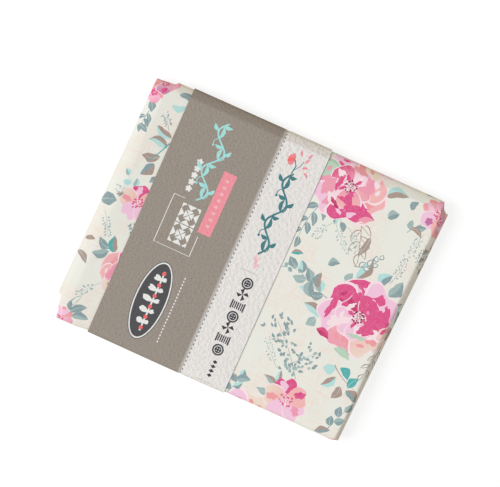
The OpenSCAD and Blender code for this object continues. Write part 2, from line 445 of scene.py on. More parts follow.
def shoulder(wide, high):
    """Table of a creased edge: run along it, and how far it has gone out (to 1) and down (from 1)."""
    stage = np.linspace(0, 1, 61)
    bends = (0, 0.06, 0.3, 0.56, 0.8, 1)
    out = np.interp(stage, bends, (0, 0.1, 0.45, 0.84, 0.98, 1))
    up = np.interp(stage, bends, (1, 0.96, 0.74, 0.44, 0.2, 0))
    return run_along(out * wide, up * high), out, up


def creased_outline(s):
    """Unit Y and Z at signed distance s round the bundle from the middle of its top.

    On the +Y side the top turns down along a crease.
    """
    d = np.clip(np.abs(s), 0, HALF_ROUND)
    y = np.sign(s) * (np.interp(d, RUN, UNIT_Y) - (np.abs(s) - d) / HALF_W)
    z = np.interp(d, RUN, UNIT_Z)
    run, out, up = shoulder(CREASE_W, HALF_H)
    half_way = np.interp(0, -UNIT_Z, RUN)
    d = np.clip((s - CREASE_Y) * run[-1] / (half_way - CREASE_Y), 0, run[-1])
    upper = (s > CREASE_Y) & (s <= half_way)
    y = np.where(upper, (CREASE_Y + CREASE_W * np.interp(d, run, out)) / HALF_W, y)
    z = np.where(upper, np.interp(d, run, up), z)
    return y, z


def smooth(a, b, v):
    """Rises smoothly from 0 where v is a to 1 where v is b."""
    t = np.clip((v - a) / (b - a), 0, 1)
    return t * t * (3 - 2 * t)


def swell(x, y):
    """Gentle rise and fall of folded cloth, in millimetres."""
    return (0.10 * np.sin(x / 19 + 1.3) * np.cos(y / 37) + 0.10 * np.sin(y / 27 - x / 61)
            + 0.05 * np.sin((x + 1.4 * y) / 11))


NOSE_X = END_X - NOSE
NOSE_TABLE = shoulder(NOSE, HALF_H)
NOSE_RUN = NOSE_TABLE[0][-1]
FLAP_X = NOSE_X + 2 * NOSE_RUN


def nose_at(x, y):
    """How far the cloth has gone out and down over the +X end. Past the end's middle it turns under."""
    under = x > NOSE_X + NOSE_RUN
    down = np.clip(np.where(under, FLAP_X - x, x - NOSE_X), 0, NOSE_RUN)
    soft_out, soft_up = (np.interp(down, NOSE_TABLE[0], way) for way in NOSE_TABLE[1:])
    stage = down / NOSE_RUN
    bends = (0, 0.2, 0.25, 0.6, 1)
    square_out = np.interp(stage, bends, (0, 0.36, 0.44, 0.94, 1))
    square_up = np.interp(stage, bends, (1, 1, 0.94, 0.38, 0))
    soft = smooth(-66, -24, y)
    out, up = square_out + soft * (soft_out - square_out), square_up + soft * (soft_up - square_up)
    return out, np.where(under, -up, up)


def out_of_square(x, side):
    """How far the pressed bundle's long sides lie further out at x. side is 1 at +Y and -1 at -Y."""
    return np.where(side > 0, 0.1 + 0.0085 * x, np.clip(0.55 - 0.0115 * x, 0, 0.8))


def open_end(y):
    """How far the open end's edge lies further in at y."""
    return np.minimum(1.5 + 0.012 * y, 2.1)


def long_side(x, s):
    """How far out the cloth's long sides lie at x. The +Y side is notched at its +X corner."""
    collar_end = -END_X + COLLAR
    pulled_in = 2.3 + 1.0 * (1 - smooth(-END_X, collar_end, x))
    collar = HALF_W - pulled_in * (1 - smooth(collar_end, collar_end + 2.5, x))
    notch_r = 9.4
    hollow = notch_r ** 2 - (np.clip(END_X + 3 - x, 0, notch_r)) ** 2
    notched = np.minimum(collar, HALF_W + 1 - np.sqrt(np.maximum(hollow, 0)))
    rounded = HALF_W - 1.4 * smooth(NOSE_X - 3, END_X, x) ** 2
    slack = 0.9 * (1 - smooth(-96, -88, x))
    return np.where(s > 0, notched, rounded + slack) + out_of_square(x, np.sign(s))


def drape(x, s):
    """Places the wrapping cloth: flat x and s, round the bundle, to its resting shape."""
    unit_y, unit_z = creased_outline(s)
    out, up = nose_at(x, unit_y * HALF_W)
    tuck = 1 - 0.14 * smooth(0.3, -0.6, unit_z)
    real_x = np.where(x > NOSE_X, NOSE_X + NOSE * out * tuck, x)
    real_x = np.where(x > FLAP_X, NOSE_X - (x - FLAP_X), real_x)
    y = unit_y * long_side(real_x, s)

    sag = 1 - 0.07 * smooth(-END_X + 10, -END_X, real_x)
    z = MID_Z + unit_z * HALF_H * sag * up - (CLOTH_T + 0.1) * smooth(0, -1, up)
    ripple = swell(real_x, y) - 0.12
    crease_place = np.exp(-((y - CREASE_Y - 2.6) / 0.7) ** 2)
    crease = 0.3 * crease_place * smooth(20, 34, real_x) * (1 - smooth(104, 110, real_x))
    z = z + np.clip(unit_z, 0, 1) ** 2 * np.clip(up, 0, 1) * (ripple - crease)
    # the long edges lap underneath, one below the other
    z = z - LAP_T * smooth(HALF_ROUND - 40, HALF_ROUND - 17, s)
    z = z + 0.15 * smooth(-HALF_ROUND + 45, -HALF_ROUND + 20, s)
    # the top stands up a little at the open end
    lift = np.interp(real_x, (-118, -114, -107, -88, -85), (1.7, 2.35, 2.4, 0.1, 0))
    z = z + lift * smooth(-0.2, 0.9, unit_z)

    lean = (0.015 * y - 0.3) * smooth(60, END_X, real_x)
    lean = lean + open_end(y) * (1 - smooth(-END_X, -END_X + 25, real_x))
    return np.stack([real_x + lean, y, z], 1)


def paper_ring(half_w, top_z, wider, above):
    """Places a paper ring. It stands off the cloth, and its ends lap under the bundle.

    wider is how much further out it stands past the seam, and above how far what lies short of the
    seam is raised underneath, so that the rag paper's margin lies on the kraft paper there.
    """
    def place(x, s):
        unit_y, unit_z = creased_outline(s)
        y = unit_y * (half_w + out_of_square(x, np.sign(s)) + 0.2 + wider * smooth(MEET_X, MEET_X + 4, x))
        z = np.where(unit_z > 0, MID_Z + unit_z * (top_z - MID_Z), MID_Z + unit_z * MID_Z)
        # underneath, one end of the ring lies over the other
        z = z + 0.4 * smooth(-HALF_ROUND + 13.6, -HALF_ROUND + 12.2, s)
        z = z + above * smooth(0, -0.9, unit_z) * (1 - smooth(MEET_X - 0.8, MEET_X, x))
        return np.stack([x - y * BAND_SLOPE, y, z], 1)
    return place


KRAFT_PLACE = paper_ring(KRAFT_HIGH[1], KRAFT_HIGH[2], 0.0, 0.0)
RAG_PLACE = paper_ring(RAG_HIGH[1], RAG_HIGH[2], 0.4, 0.35)


# ---- the printed cloth
def petals(text):
    """Tone, tone at the tip and brush mark of each petal in turn."""
    return [tuple(None if word == "-" else word for word in part.split()) for part in text.split(", ")]


MIXED = petals("magenta magenta pink, peach sand coral, pink pink -, pink pink rose, peach peach magenta")
PALE = petals("peach coral pink, pink pink violet, peach peach coral, pink violet magenta, pink rose -")
BUDS = petals("coral rose peach, rose coral -, peach coral -, pink pink rose, pink rose -")
PINK_ROSE = (
    petals("magenta magenta pink, magenta magenta crimson, pink pink blush, peach rose coral, "
           "peach sand coral, peach sand magenta, pink pink magenta"),
    petals("magenta magenta crimson, pink pink blush, pink pink blush, pink rose -, magenta magenta rose"),
    ((15, 0.55, 0.34, 0.2, "magenta"), (60, 0.42, 0.2, 0.12, "magenta"), (-15, 0.3, 0.18, 0.1, "magenta"),
     (180, 0.74, 0.3, 0.09, "magenta"), (100, 0.5, 0.24, 0.12, "magenta"), (-25, 0.6, 0.14, 0.1, "blush"),
     (205, 0.45, 0.16, 0.07, "blush"), (150, 0.35, 0.14, 0.06, "blush"), (-70, 0.5, 0.2, 0.06, "mint"),
     (-40, 0.4, 0.2, 0.12, "magenta"), (0, 0.85, 0.12, 0.05, "rose")))
SOFT_ROSE = (
    petals("rose peach coral, peach peach blush, sand sand coral, pink pink magenta, mint mint rose, "
           "pink pink rose, magenta magenta pink"),
    petals("peach rose rose, blush pink -, rose magenta blush, pink blush -, rose peach magenta"),
    ((-55, 0.62, 0.26, 0.12, "magenta"), (-85, 0.4, 0.2, 0.07, "magenta"), (185, 0.3, 0.2, 0.08, "magenta"),
     (200, 0.55, 0.26, 0.14, "rose"), (20, 0.5, 0.24, 0.12, "rose"), (80, 0.5, 0.2, 0.1, "coral"),
     (50, 0.3, 0.12, 0.06, "blush"), (-110, 0.6, 0.14, 0.06, "crimson")))

# each motif: its function, x, y and heading in degrees, then its own measures and tones
FRONT_MOTIFS = (
    # right-hand field
    (leaf, 77, 20, 75, 20, 9, "aqua", "taupe", -0.1),
    (leaf, 72, 14, 80, 9, 6, "sage"),
    (leaf, 94, 22, 60, 13, 9, "aqua", "slate", 0.15),
    (leaf, 104, 18, 70, 15, 9, "sage", "slate", -0.12),
    (leaf, 112, 8, 60, 12, 7, "taupe", "aqua", 0.1),
    (sprig, 72, 28, 10, 20, ["slate"], 6, 6, 3.6, 1.1, True),
    (dotted_sprig, 101, 27, 70, 22, "slate", 0.5),
    (sprig, 66, -2, 168, 34, ["slate", "sage", "aqua"], 7, 12, 6.4, -0.35),
    (leaf, 54, 2, 98, 12, 6.5, "slate", "taupe", 0.15),
    (leaf, 54, 21, 30, 9, 6, "sage", "slate", 0.2),
    (leaf, 66, -16, 165, 17, 8, "aqua", "taupe", -0.1),
    (leaf, 62, -18, 240, 9, 7, "sage"),
    (leaf, 52, -6, 110, 13, 8, "sage", "slate"),
    (rose, 91, -5, 110, 29, *PINK_ROSE),
    (leaf, 84, -33, -15, 15, 6, "mint"),
    (leaf, 66, -25, -18, 12, 6, "magenta", "crimson"),
    # upper rose
    (leaf, 71, 84, 20, 17, 9, "aqua", "taupe", 0.2),
    (leaf, 79, 70, 40, 9, 7, "sage", "slate"),
    (sprig, 62, 62, -65, 26, ["taupe"], 6, 12, 4, -0.2, True),
    (leaf, 74, 52, -100, 17, 5, "taupe", None, 0.05),
    (sprig, 34, 66, -118, 36, ["slate"], 7, 13, 4.6, 0.55),
    (sprig, 44, 64, -70, 12, ["slate", "aqua"], 3, 9, 4.6, 0.3),
    (rose, 45, 80, -20, 28, *SOFT_ROSE),
    (leaf, 60, 60, 20, 12, 8, "magenta", "rose", 0.2),
    (dotted_sprig, 46, 52, -55, 24, "sage", 0.5),
    (dotted_sprig, 56, 52, -35, 18, "sage", -0.3),
    (dotted_sprig, 44, 50, -125, 16, "sage", 0.3),
    # corner blossom
    (leaf, 92, 82, 70, 8, 5, "slate", None, 0.2),
    (sprig, 96, 66, 60, 18, ["sage", "slate"], 4, 9, 4.6, -0.3),
    (leaf, 96, 70, -20, 12, 4, "taupe", None, 0.2),
    (blossom, 112, 87, 150, 13.5, PALE, "sand"),
    (dotted_sprig, 108, 70, -110, 16, "sage", 0.4),
    (dotted_sprig, 113, 66, -80, 16, "slate", -0.4),
    # leaves over the right-hand fold
    (sprig, 119, 72, -95, 22, ["taupe", "sage"], 6, 9, 3.4, 0.2),
    (leaf, 117, 12, -75, 13, 5, "slate", "sage", 0.1),
    (leaf, 119, -2, -100, 12, 5, "taupe", None, 0.1),
    (sprig, 117, -18, -95, 24, ["taupe"], 6, 9, 3.0, -0.2, True),
    # teal group
    (leaf, 92, -46, 200, 10, 8, "aqua"),
    (leaf, 95, -52, 230, 13, 7, "aqua", "taupe"),
    (stem, 90, -44, -40, 24, "taupe", 0.5, 0.7),
    (leaf, 95, -44, -38, 11, 6.5, "teal", "teal", 0.2),
    (leaf, 106, -56, 62, 11, 6.5, "teal", None, 0.1),
    (leaf, 101, -57, -105, 11, 7, "taupe", None, 0.15),
    (leaf, 106, -58, -30, 13, 7, "taupe", "slate", 0.15),
    # spray and blossom
    (leaf_spray, 68, -66, 125, 46, 9, 64, ["slate", "slate", "sage"]),
    (leaf_spray, 58, -58, 40, 22, 8, 22, ["slate", "sage"]),
    (dotted_sprig, 52, -64, 140, 22, "sage", -0.3),
    (leaf, 60, -76, 110, 13, 5, "aqua", "taupe", 0.1),
    (leaf, 58, -78, 155, 14, 5, "sage", "taupe", -0.1),
    (leaf, 56, -82, 185, 12, 5, "sage", None, 0.12),
    (blossom, 68, -83, 112, 16.5, MIXED),
    (sprig, 26, -96, 70, 16, ["slate", "aqua"], 4, 8, 5, 0.2),
    (leaf, 28, -84, 20, 11, 6, "slate", "sage", 0.1),
    (sprig, 106, -90, 75, 18, ["slate", "sage"], 4, 9, 6, -0.2),
    (leaf, 98, -96, 30, 12, 6, "taupe", "slate", 0.1),
    (leaf, 26, 18, 20, 9, 4, "taupe", "teal", 0.1),
    (sprig, 24, 6, 20, 12, ["sage", "slate"], 4, 5, 3, -0.3),
)
LEFT_MOTIFS = (
    (leaf, -115, 80, -65, 9, 6, "slate", None, 0.1),
    (blossom, -115, 87, 10, 8.5, BUDS, "sand"),
    (sprig, -113, 72, -105, 10, ["slate"], 4, 9, 3.6, 0.3),
    (leaf, -116, 60, -25, 9, 4.4, "slate", None, 0.1),
    (leaf, -96, 90, -10, 12, 6, "slate", None, 0.2),
    (leaf, -98, 80, 20, 12, 5, "aqua", None, -0.2),
    (dotted_sprig, -92, 62, 120, 12, "slate", 0.2),
    (leaf, -88, 58, 160, 15, 7, "aqua", "taupe", 0.12),
    (leaf, -88, 50, 172, 16, 7, "aqua", "taupe", -0.12),
    (leaf, -90, 42, 190, 14, 7, "taupe", None, 0.15),
    (leaf, -92, 36, 240, 13, 8, "taupe", "slate", 0.1),
    (stem, -88, 54, -110, 20, "teal", -0.3, 1.0),
    (sprig, -92, 10, 150, 18, ["aqua", "sage"], 4, 8, 4.6, -0.3),
    (dotted_sprig, -98, 8, 165, 12, "sage", 0.4),
    (leaf, -98, 8, 195, 12, 5, "sage", "taupe", 0.1),
    (blossom, -91, 4, 100, 14, MIXED),
    (leaf, -118, -4, 20, 12, 10, "slate", None, 0.1),
    (dotted_sprig, -112, -10, -50, 18, "sage", -0.3, 0.9),
    (leaf, -96, -34, 155, 12, 6, "slate", None, 0.15),
    (leaf, -96, -36, 205, 13, 7, "slate", "sage", 0.15),
    (leaf, -92, -36, 110, 13, 7, "teal", "taupe", 0.1),
    (leaf, -117, -34, 15, 8, 3.6, "taupe", None, 0.1),
    (leaf, -118, -44, -35, 12, 5, "taupe", None, 0.1),
    (rose, -79, -48, 150, 18, *SOFT_ROSE),
    (dotted_sprig, -92, -60, -140, 18, "sage", 0.4, 0.9),
    (outline_leaf, -106, -84, 62, 12, 4, "sage", 0.05),
    (leaf, -104, -88, 35, 13, 6, "slate", None, 0.1),
    (leaf, -102, -90, 5, 13, 6, "slate", "sage", 0.12),
    (leaf, -104, -87, 110, 8, 4, "slate", None, 0.1),
    (blossom, -110, -97, 60, 12, PALE),
)
MIDDLE_MOTIFS = (
    (sprig, -62, 40, 200, 26, ["slate", "sage"], 6, 11, 5, 0.4),
    (blossom, -40, 62, 30, 16, MIXED),
    (rose, -30, -26, 60, 26, *PINK_ROSE),
    (leaf_spray, -62, -6, 200, 26, 8, 26, ["slate", "sage"]),
    (sprig, -6, 20, 100, 30, ["sage", "taupe"], 6, 10, 5, -0.4),
    (dotted_sprig, -40, 10, 80, 26, "sage", 0.4),
    (blossom, -60, -80, 0, 15, PALE, "sand"),
    (sprig, -4, -74, 150, 26, ["aqua", "slate"], 6, 10, 5, 0.3),
    (leaf, 6, 76, 30, 16, 8, "aqua", "taupe"),
    (sprig, -70, 88, -10, 22, ["taupe"], 5, 9, 4, 0.3, True),
)
FILLING_MOTIFS = (
    (sprig, -10, -40, -25, 24, ["slate", "sage"], 6, 11, 5.4, 0.4),
    (sprig, -46, -46, 215, 24, ["sage", "aqua"], 6, 11, 5.4, -0.4),
    (leaf_spray, -14, -4, 35, 26, 8, 34, ["slate", "sage"]),
    (dotted_sprig, -52, 4, 110, 20, "slate", 0.4),
    (sprig, -28, 56, -30, 26, ["slate", "taupe"], 6, 11, 5.4, 0.4),
    (sprig, -52, 72, 120, 18, ["sage", "slate"], 5, 9, 4.6, 0.4),
    (dotted_sprig, -30, -78, 20, 22, "slate", 0.3),
    (blossom, 4, 42, 70, 11, MIXED),
    (blossom, 6, -62, 20, 10, PALE, "sand"),
)


def scatter(sheet, motifs, dx, dy):
    """Paints motifs in order, all moved by dx, dy."""
    for draw, x, y, heading, *rest in motifs:
        draw(sheet, dx + x, dy + y, radians(heading), *rest)


def floral_print():
    """The pattern repeats along Y, and its left-hand part once more at the +X end."""
    sheet = Sheet(11)
    rows = (-REPEAT_Y, 0.0, REPEAT_Y)
    for dy in rows:
        for motifs in (MIDDLE_MOTIFS, LEFT_MOTIFS, FRONT_MOTIFS):
            scatter(sheet, motifs, 0.0, dy)
    for dy in rows:
        scatter(sheet, LEFT_MOTIFS, REPEAT_X, dy)
        scatter(sheet, FILLING_MOTIFS, 0.0, dy)
    return sheet


# ---- the printed papers
def rounded_bar(sheet, x, y, length, width, tone):
    """Bar with round ends that runs along Y."""
    t = np.linspace(-pi / 2, pi / 2, 6)
    r = width / 2
    right = np.stack([length / 2 - r + r * np.cos(t), r * np.sin(t)], 1)
    sheet.paint(turned(np.concatenate([right, -right]), x, y, pi / 2), tone)


def rectangle(sheet, x0, y0, x1, y1, tone):
    sheet.paint([(x0, y0), (x1, y0), (x1, y1), (x0, y1)], tone)


def ribbon(sheet, points, width, tone):
    """Pen stroke along points, cut into short overlapping pieces so that loops may cross."""
    p = np.asarray(points, float)
    for k in range(len(p) - 1):
        a, b = p[k], p[k + 1]
        along = (b - a) / max(1e-6, np.hypot(*(b - a)))
        across = np.array([-along[1], along[0]]) * width / 2 * (0.75 + 0.45 * abs(along[1]))
        a2, b2 = a - along * width * 0.2, b + along * width * 0.2
        sheet.paint([a2 + across, a2 - across, b2 - across, b2 + across], tone)


def garland(sheet, x, y0, y1, swing, waves, width, tone, leaf_l, leaf_w):
    """Leafy vine that runs along Y."""
    t = np.linspace(0, 1, waves * 16)
    a = t * waves * 2 * pi
    px, py = x + swing * np.sin(a), y0 + (y1 - y0) * t
    ribbon(sheet, np.stack([px, py], 1), width, tone)
    rise = (y1 - y0) / waves
    for k in range(waves * 6):
        u = (k + 0.5) / (waves * 6)
        phase = u * waves * 2 * pi
        slope = math.atan2(rise, swing * 2 * pi * cos(phase))
        side = -1 if k % 2 else 1
        bx, by = x + swing * sin(phase), y0 + (y1 - y0) * u
        size = leaf_l * (0.8 + 0.25 * cos(2.1 * k))
        leaf(sheet, bx, by, slope + side * 0.75, size, leaf_w, tone, None, side * 0.14, False)
        if k % 3 == 0:
            turn = slope - side * 0.9
            tip = [beside(bx, by, size * 0.7 * v, turn + v * 1.2) for v in (0, 0.3, 0.6, 0.9)]
            ribbon(sheet, tip, width * 0.45, tone)
            disc(sheet, *tip[-1], width * 0.75, tone, 10)


def patch_block(sheet, x, y, size, tone):
    """Patchwork block of eight triangles round a square."""
    h = size / 2
    q = size / 4
    for k in range(4):
        a = k * pi / 2
        for pts in (((h, -q), (h, q), (q, 0)),
                    ((h, h), (q, q * 1.9), (h, q * 1.25)),
                    ((h, h), (q * 1.9, q), (q * 1.25, h)),
                    ((0.2, 0), (q * 0.95, -q * 0.75), (q * 0.95, q * 0.75))):
            sheet.paint(turned(pts, x, y, a), tone)


def notions_row(sheet, x, y0, y1, height, tone):
    """Row of small sewing things: button, spool and pinwheel patch in turn."""
    count = 7
    step = (y1 - y0) / count
    h = height / 2
    for k in range(count):
        y = y0 + step * (k + 0.5)
        kind = k % 3
        if kind == 0:
            disc(sheet, x, y, h * 0.82, tone, 28)
            disc(sheet, x, y, h * 0.6, "blank", 26)
            disc(sheet, x, y, h * 0.48, tone, 24)
            for sx, sy in ((1, 1), (1, -1), (-1, 1), (-1, -1)):
                disc(sheet, x + sx * h * 0.17, y + sy * h * 0.17, h * 0.09, "blank", 10)
        elif kind == 1:
            rectangle(sheet, x - h, y - h * 0.62, x - h * 0.78, y + h * 0.62, tone)
            rectangle(sheet, x + h * 0.78, y - h * 0.62, x + h, y + h * 0.62, tone)
            for v in np.linspace(-0.6, 0.6, 5):
                rectangle(sheet, x + h * (v - 0.09), y - h * 0.5, x + h * (v + 0.09), y + h * 0.5, tone)
        else:
            for q in range(4):
                a = q * pi / 2
                sheet.paint(turned([(0, 0), (h * 0.95, 0), (h * 0.5, h * 0.5)], x, y, a), tone)


def dash_row(sheet, x, y0, y1, width, tone, dash=1.5, gap=1.0):
    """Row of short dashes, like a running stitch, that runs along Y."""
    y = y0
    while y + dash < y1:
        rounded_bar(sheet, x, y + dash / 2, dash, width, tone)
        y += dash + gap


def spaced(low, high, count):
    """Middles of count equal steps from low to high."""
    return [low + (high - low) * (k + 0.5) / count for k in range(count)]


def diamond_row(sheet, x, y0, y1, count, size, tone):
    for y in spaced(y0, y1, count):
        sheet.paint([(x - size, y), (x, y - size * 0.7), (x + size, y), (x, y + size * 0.7)], tone)


def flower_row(sheet, x, y0, y1, count, size, tone):
    for y in spaced(y0, y1, count):
        for q in range(5):
            petal(sheet, x, y, 0.3 + q * 2 * pi / 5, size, size * 0.72, tone)


def kraft_print():
    sheet = Sheet(5)
    # oval badge with a sprig of leaves and berries
    x, y = -53.9, -56.0
    for rx, ry, tone in ((12.4, 30.2, "badge"), (11.9, 29.6, "ring"), (10.9, 28.5, "badge")):
        disc(sheet, x, y, rx, tone, 44, ry)
    stalk, pitch = x + 1.5, 8.3
    for k in range(-2, 3):
        petal(sheet, stalk, y + pitch * k, pi * 0.94, 8.4 - abs(k) * 1.3, 4.6, "ring")
        petal(sheet, stalk, y + pitch * k, pi * 0.12, 5.4 - abs(k) * 0.7, 3.4, "ring")
    ribbon(sheet, [(stalk, y - 23), (stalk, y + 23)], 1.0, "ring")
    for k in (-2.5, -1.5, -0.5, 0.5, 1.5, 2.6):
        disc(sheet, stalk, y + pitch * k, 1.5, "drop", 14)
    dash_row(sheet, -37, -82, -30, 1.0, "ring")
    # open frame with two patchwork blocks
    for a, b in (((-69.5, -15.5), (-69.5, 22)), ((-69.5, -15.5), (-41, -15.5)),
                 ((-69.5, 22), (-60.5, 22)), ((-41, -15.5), (-41, 0))):
        ribbon(sheet, [a, b], 0.45, "ring")
    for y in (-3.6, 11.6):
        patch_block(sheet, -53.5, y, 14.5, "ring")
    # flowers, garland and bar
    flower_row(sheet, -61.5, 27, 53, 5, 2.6, "ring")
    garland(sheet, -53, 24, 84, 5.4, 2, 1.1, "script", 9.5, 2.8)
    sheet.paint([(-42.9, 3.2), (-32.7, 3.4), (-32.3, 51.6), (-42.5, 51.8)], "tag")
    diamond_row(sheet, -37.6, 7.5, 48, 8, 1.9, "faint")
    return sheet


def rag_print():
    sheet = Sheet(6)
    diamond_row(sheet, 8.0, -90, -76, 4, 2.0, "dark")
    notions_row(sheet, 6.2, -73, -11.5, 10.6, "dark")
    ribbon(sheet, [(-2.5, -7.5), (10, -7.5)], 0.3, "grey")
    for k in range(3):
        leaf(sheet, 5.5, -4 + 2.6 * k, radians(50 + 30 * k), 5.5, 2.2, "faint")
    garland(sheet, 4.2, 7, 70, 4.8, 2, 1.3, "deep", 9.5, 3.0)
    ribbon(sheet, [(2.5, 70), (3.5, 76), (1, 80)], 0.7, "deep")
    ribbon(sheet, [(3.5, 73), (6.5, 77), (7.5, 81)], 0.6, "slate")
    for a, tone in ((150, "coral"), (180, "drop"), (205, "drop"), (120, "coral"), (235, "coral")):
        petal(sheet, 0.8, 79.5, radians(a), 5.4, 3.2, "drop", tone)
    for px, py, a in ((8, 76, 20), (9, 80, 60), (5, 84, 110), (10, 84, 70), (10.5, 74, -40)):
        leaf(sheet, px, py, radians(a), 5.0, 1.9, "tag")
    ribbon(sheet, [(0, -94), (13, -94)], 0.25, "grey")
    return sheet


# ---- materials
class Nodes:
    """Short names for building a node material."""

    def __init__(self, name):
        self.material = bpy.data.materials.new(name)
        self.material.use_nodes = True
        self.tree = self.material.node_tree
        self.shader = self.tree.nodes["Principled BSDF"]

    def node(self, kind, inputs=(), **settings):
        made = self.tree.nodes.new(kind)
        for key, value in settings.items():
            setattr(made, key, value)
        for key, value in dict(inputs).items():
            self.put(made.inputs[key], value)
        return made

    def put(self, socket, value):
        if isinstance(value, bpy.types.NodeSocket):
            self.tree.links.new(value, socket)
        else:
            socket.default_value = value

    def math(self, operation, a, b=0.0, c=0.0):
        return self.node("ShaderNodeMath", {0: a, 1: b, 2: c}, operation=operation).outputs[0]

    def times(self, a, b):
        return self.math("MULTIPLY", a, b)

    def plus(self, a, b):
        return self.math("ADD", a, b)

    def mix(self, amount, a, b):
        made = self.node("ShaderNodeMix", data_type="RGBA")
        self.put(made.inputs[0], amount)
        for socket, value in ((made.inputs[6], a), (made.inputs[7], b)):
            self.put(socket, value)
        return made.outputs[2]

    def veil(self, colour, tone, value, low, high, amount):
        """Lays a tone over a colour where value rises from low to high, up to amount."""
        return self.mix(self.times(self.step(value, low, high), amount), colour, rgba(tone))

    def noise(self, where, scale, detail=2.0, rough=0.5):
        settings = {"Vector": where, "Scale": scale, "Detail": detail, "Roughness": rough}
        return self.node("ShaderNodeTexNoise", settings).outputs["Fac"]

    def step(self, value, low, high):
        made = self.node("ShaderNodeMapRange", {"Value": value, "From Min": low, "From Max": high})
        made.interpolation_type = "SMOOTHSTEP"
        return made.outputs["Result"]

    def stretch(self, where, x, y, z=1.0):
        return self.node("ShaderNodeMapping", {"Vector": where, "Scale": (x, y, z)}).outputs["Vector"]

    def split(self, where):
        return self.node("ShaderNodeSeparateXYZ", {0: where}).outputs[:2]

    def flat(self):
        return self.node("ShaderNodeAttribute", attribute_name="flat_mm").outputs["Vector"]

    def printed(self):
        made = self.node("ShaderNodeAttribute", attribute_name="print")
        return made.outputs["Color"], made.outputs["Alpha"]

    def bump(self, height, strength, distance):
        made = self.node("ShaderNodeBump", {"Height": height, "Strength": strength, "Distance": distance})
        self.put(self.shader.inputs["Normal"], made.outputs["Normal"])

    def finish(self, colour, rough, sheen=0.0):
        self.put(self.shader.inputs["Base Color"], colour)
        self.put(self.shader.inputs["Roughness"], rough)
        self.put(self.shader.inputs["Sheen Weight"], sheen)
        self.put(self.shader.inputs["Specular IOR Level"], 0.2)
        return self.material


def rgba(tone):
    return (*TONES[tone], 1.0) if isinstance(tone, str) else (*linear(tone), 1.0)


def hatch(n, where):
    """Broken crossing lines, as a dry brush leaves."""
    along = n.noise(n.stretch(where, 1.1, 0.06), 1.0, 2)
    across = n.noise(n.stretch(where, 0.06, 1.1), 1.0, 2)
    lines = n.math("MAXIMUM", n.step(along, 0.52, 0.62), n.step(across, 0.52, 0.62))
    patch = n.step(n.noise(where, 0.03, 1.5), 0.44, 0.56)
    return n.times(lines, patch)


def weave(n, where, pitch=0.42):
    """Plain weave height: warp over weft."""
    x, y = (n.math("SINE", n.times(way, pi / pitch)) for way in n.split(where))
    return n.times(x, y)


def cotton(n, where, colour):
    """Finishes a cotton material: woven relief, dull, with a little sheen."""
    height = n.plus(n.times(weave(n, where), 0.35), n.noise(where, 0.6, 3, 0.6))
    n.bump(height, 0.22, 0.0004)
    return n.finish(colour, 0.88, 0.15)


def floral_material():
    n = Nodes("floral_cotton")
    where = n.flat()
    tint, ink = n.printed()
    ground = n.mix(n.times(hatch(n, where), 0.5), rgba("ground"), rgba((246, 216, 200)))
    wash = n.noise(where, 0.35, 4, 0.6)
    fleck = n.step(n.noise(where, 1.1, 3, 0.6), 0.62, 0.68)
    brush = n.step(n.noise(n.stretch(where, 1.6, 0.35), 1.0, 2, 0.6), 0.6, 0.68)
    fleck = n.math("MAXIMUM", fleck, n.times(brush, 0.5))
    painted = n.veil(tint, "blush", wash, 0.3, 0.72, 0.07)
    painted = n.mix(n.times(fleck, 0.42), painted, rgba("ground"))
    colour = n.mix(ink, ground, painted)
    fibre = n.noise(where, 2.6, 2, 0.6)
    return cotton(n, where, n.veil(colour, (150, 140, 128), fibre, 0.35, 0.75, 0.05))


def paper_material(name, paper, dark, fleck_amount, dimple, dimple_scale, pale_edge=None):
    """The last argument gives where along X the paper starts and ends turning pale towards its edge."""
    n = Nodes(name)
    where = n.flat()
    tint, ink = n.printed()
    fine = n.noise(where, 1.6, 4, 0.65)
    speck = n.noise(n.stretch(where, 0.6, 1.0), 1.0, 4, 0.8)
    base = n.veil(rgba(paper), dark, speck, 0.48, 0.72, fleck_amount)
    # the paper turns pale over its last millimetres at the seam
    if pale_edge:
        base = n.veil(base, (212, 207, 202), n.split(where)[0], *pale_edge, 0.8)
    base = n.veil(base, "ring", fine, 0.3, 0.8, 0.12)
    printed = n.veil(tint, paper, fine, 0.35, 0.85, 0.1)
    colour = n.mix(n.times(ink, 0.97), base, printed)
    n.bump(n.plus(n.noise(where, dimple_scale, 2, 0.5), n.times(fine, 0.35)), dimple, 0.0012)
    return n.finish(colour, 0.85)


def cell(n, where, pitch):
    """Repeats the plane in square cells with a half drop. Returns x and y in a cell, from -0.5 to 0.5."""
    x, y = (n.math("DIVIDE", way, pitch) for way in n.split(where))
    odd = n.math("MODULO", n.math("FLOOR", x), 2.0)
    y = n.plus(y, n.times(odd, 0.5))
    return [n.math("SUBTRACT", n.math("FRACT", way), 0.5) for way in (x, y)]


# number of petals, radius and depth of the dips between them, as parts of a cell
ROSETTES = {"dots": (1, 0.16, 0.0), "blossom": (5, 0.25, 0.08), "leaf": (2, 0.17, 0.16),
            "star": (8, 0.2, 0.1)}


def rosette(n, fx, fy, petals, size, depth):
    """1 inside a flower of so many petals, 0 outside."""
    radius = n.math("SQRT", n.plus(n.times(fx, fx), n.times(fy, fy)))
    angle = n.math("ARCTAN2", fy, fx)
    ripple = n.math("COSINE", n.times(angle, float(petals)))
    edge = n.plus(size, n.times(ripple, depth))
    return n.step(n.math("SUBTRACT", edge, radius), 0.0, 0.03)


